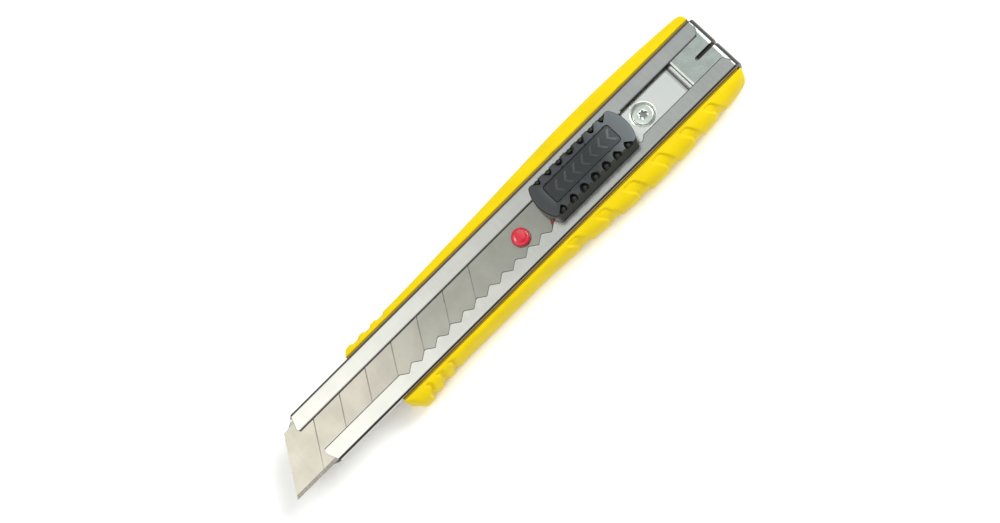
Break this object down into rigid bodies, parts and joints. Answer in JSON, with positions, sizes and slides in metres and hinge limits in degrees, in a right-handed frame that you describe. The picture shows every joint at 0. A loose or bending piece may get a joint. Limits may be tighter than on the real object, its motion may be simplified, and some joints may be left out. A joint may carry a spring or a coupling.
{
  "type": "utility knife",
  "caption": "Snap-off utility knife with a steel blade channel, soft grips, a sliding lock button that carries the scored blade, and a blade-snapping end clip.",
  "frame": {"origin": "middle of the knife's box, on the plane that its back rests on", "axes": "+X along the knife toward its rear end clip, +Y toward the blade's spine side, +Z out of the face that carries the slider"},
  "size_m": [0.1876, 0.0344, 0.0197],
  "materials": {
    "brushed_stainless": "cold-rolled stainless sheet, fine lengthwise brushing, satin",
    "blade_steel": "ground and polished carbon tool steel",
    "yellow_core": "moulded ABS, semi-gloss, darker yellow",
    "yellow_grip": "overmoulded thermoplastic elastomer, soft satin sheen",
    "black_abs": "moulded ABS, fine spark texture, satin",
    "black_acetal": "moulded acetal, smooth",
    "red_acetal": "moulded acetal, glossy",
    "zinc_screw": "zinc-plated steel, slightly cloudy",
    "brass": "turned brass",
    "spring_steel": "drawn spring wire, bright",
    "clip_steel": "stamped stainless, matt grained, soft edges"
  },
  "bodies": {
    "handle": {"blade_channel": "brushed_stainless", "handle_core": "yellow_core", "spine_grip": "yellow_grip", "edge_grip": "yellow_grip", "palm_pad": "yellow_grip", "front_channel_screw": "zinc_screw", "rear_channel_screw": "zinc_screw", "front_insert": "brass", "rear_insert": "brass"},
    "carriage": {"blade_carrier": "red_acetal", "snap_blade": "blade_steel", "slider_base": "black_acetal", "front_rivet": "spring_steel", "rear_rivet": "spring_steel", "pawl_spring": "spring_steel", "front_button_spring": "spring_steel", "rear_button_spring": "spring_steel"},
    "button": {"slider_button": "black_abs"},
    "pawl": {"lock_pawl": "spring_steel"},
    "clip": {"end_clip": "clip_steel"}
  },
  "joints": [
    {"name": "slider_travel", "type": "slide", "parent": "handle", "child": "carriage", "axis": [1, 0, 0], "range_m": [-0.0825, 0.0165]},
    {"name": "button_shift", "type": "slide", "parent": "carriage", "child": "button", "axis": [1, 0, 0], "range_m": [-0.0008, 0.0008], "stiffness_N_per_m": 150, "deforming": ["front_button_spring", "rear_button_spring"]},
    {"name": "pawl_engage", "type": "slide", "parent": "carriage", "child": "pawl", "axis": [0, -1, 0], "range_m": [0, 0.0019], "stiffness_N_per_m": 60, "springref_m": 0.0019, "deforming": ["pawl_spring"]},
    {"name": "clip_pull", "type": "slide", "parent": "handle", "child": "clip", "axis": [1, 0, 0], "range_m": [0, 0.014]}
  ]
}
